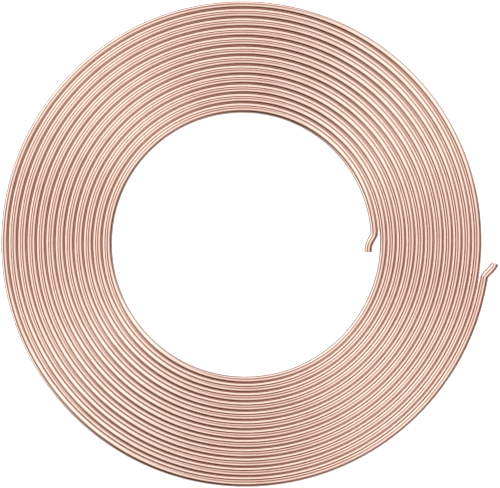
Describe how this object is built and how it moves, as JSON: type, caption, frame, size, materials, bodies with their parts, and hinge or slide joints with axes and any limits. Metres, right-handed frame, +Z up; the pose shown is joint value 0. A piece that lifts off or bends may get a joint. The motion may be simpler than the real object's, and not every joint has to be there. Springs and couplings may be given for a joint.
{
  "type": "copper tube coil",
  "caption": "Flat single-layer spiral coil of soft round copper tube with an open bore and two short bent open ends, stock to unroll, cut and fit as refrigeration or plumbing line.",
  "frame": {"origin": "centre of the coil's bore on the floor, midway between the axes of the upper and lower half turns", "axes": "+Z up along the bore's axis, +X towards the side where both ends of the tube are"},
  "size_m": [0.5349, 0.5221, 0.0079],
  "materials": {
    "copper": "bright drawn copper, polished"
  },
  "bodies": {
    "root": {"copper_tube_coil": "copper"}
  },
  "joints": []
}
